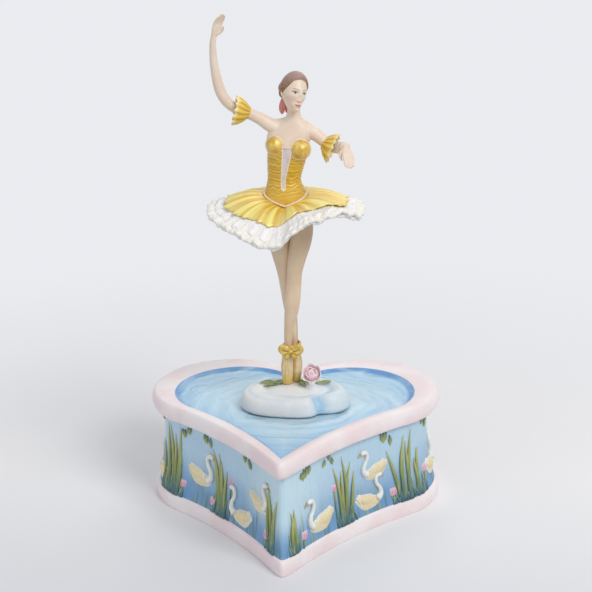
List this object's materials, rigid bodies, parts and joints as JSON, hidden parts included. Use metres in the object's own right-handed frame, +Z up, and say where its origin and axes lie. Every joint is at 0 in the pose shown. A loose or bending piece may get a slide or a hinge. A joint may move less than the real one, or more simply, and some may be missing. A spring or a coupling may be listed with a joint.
{
  "type": "ballerina jewellery box",
  "caption": "Heart-shaped resin jewellery box with a hinged lake-painted lid, a turning ballerina on a cloud mound, a wind-up musical movement and a lined tray.",
  "frame": {"origin": "centre of the heart outline's box on the plane of the foot rim", "axes": "+Z up along the spindle, heart's tip towards -Y, lobes and hinges towards +Y"},
  "size_m": [0.13, 0.122, 0.2172],
  "materials": {
    "painted_resin_box": "hand-painted satin resin",
    "painted_resin_lid": "hand-painted satin resin",
    "resin_cloud": "satin resin",
    "resin_rose": "satin resin",
    "resin_leaf": "satin resin",
    "resin_skin": "satin resin",
    "resin_gold": "pearl gold paint",
    "resin_lace": "matt cream paint",
    "resin_hair": "satin paint",
    "brass": "lightly polished",
    "steel": "brushed",
    "cast_zinc": "as cast",
    "flock": "velvet flock",
    "clear_acrylic": "clear"
  },
  "bodies": {
    "box": {"box_body": "painted_resin_box", "compartment_tray": "flock", "movement_cover": "clear_acrylic", "box_hinge_leaves": "brass", "box_hinge_screws": "steel", "hinge_pins": "steel", "movement_bedplate": "cast_zinc", "movement_screws": "steel", "comb": "steel", "comb_screws": "steel", "cylinder_brackets": "steel", "governor_bracket": "steel"},
    "lid": {"lid": "painted_resin_lid", "lid_hinge_leaves": "brass", "lid_hinge_screws": "steel", "spindle_bush": "brass"},
    "turntable": {"turntable_spindle": "steel", "turntable_plate": "steel", "lid_dog": "steel", "turntable_mound": "resin_cloud", "figure_pin": "steel", "rose": "resin_rose", "rose_leaves": "resin_leaf", "pointe_shoes": "resin_gold", "back_leg": "resin_skin", "front_leg": "resin_skin", "ankle_ribbons": "resin_gold", "ballerina_torso": "resin_gold", "ballerina_head": "resin_skin", "hair": "resin_hair", "hair_ribbon": "resin_rose", "raised_arm": "resin_skin", "forward_arm": "resin_skin", "raised_arm_frill": "resin_gold", "forward_arm_frill": "resin_gold", "tutu_overskirt": "resin_gold", "tutu_petticoat": "resin_lace"},
    "barrel": {"spring_barrel": "brass", "barrel_cover": "brass", "drive_dog": "brass", "mainspring": "steel"},
    "cylinder": {"pinned_cylinder": "brass", "cylinder_arbor": "steel", "cylinder_pinion": "steel", "cylinder_wheel": "brass"},
    "second_wheel": {"second_arbor": "steel", "second_pinion": "steel", "worm_wheel": "brass"},
    "governor": {"governor_worm": "steel", "governor_fan": "steel"},
    "winder": {"winding_arbor": "steel", "ratchet_wheel": "brass", "winding_key": "steel"},
    "click": {"click": "steel"}
  },
  "joints": [
    {"name": "lid_hinge", "type": "hinge", "parent": "box", "child": "lid", "pos_m": [0, 0.05736, 0.04315], "axis": [-1, 0, 0], "range_deg": [0, 95]},
    {"name": "turntable_spin", "type": "hinge", "parent": "lid", "child": "turntable", "pos_m": [0, 0.007, 0.045], "axis": [0, 0, 1], "continuous": true},
    {"name": "barrel_turn", "type": "hinge", "parent": "box", "child": "barrel", "pos_m": [0, 0.007, 0.028], "axis": [0, 0, 1], "continuous": true},
    {"name": "cylinder_turn", "type": "hinge", "parent": "box", "child": "cylinder", "pos_m": [0, 0.007, 0.02812], "axis": [0.866, 0.5, 0], "continuous": true},
    {"name": "second_wheel_turn", "type": "hinge", "parent": "box", "child": "second_wheel", "pos_m": [0.0048, -0.00131, 0.02812], "axis": [0.866, 0.5, 0], "continuous": true},
    {"name": "governor_spin", "type": "hinge", "parent": "box", "child": "governor", "pos_m": [0.04391, 0.01515, 0.02812], "axis": [0, 0, 1], "continuous": true},
    {"name": "key_turn", "type": "hinge", "parent": "box", "child": "winder", "pos_m": [0, 0.007, 0.008], "axis": [0, 0, 1], "continuous": true},
    {"name": "click_lift", "type": "hinge", "parent": "box", "child": "click", "pos_m": [0.01384, 0.00402, 0.018], "axis": [0, 0, 1], "range_deg": [0, 12]}
  ],
  "couplings": [
    {"joint": "barrel_turn", "follows": "turntable_spin", "ratio": 1},
    {"joint": "cylinder_turn", "follows": "turntable_spin", "ratio": 4},
    {"joint": "second_wheel_turn", "follows": "turntable_spin", "ratio": -12},
    {"joint": "governor_spin", "follows": "turntable_spin", "ratio": -192}
  ]
}
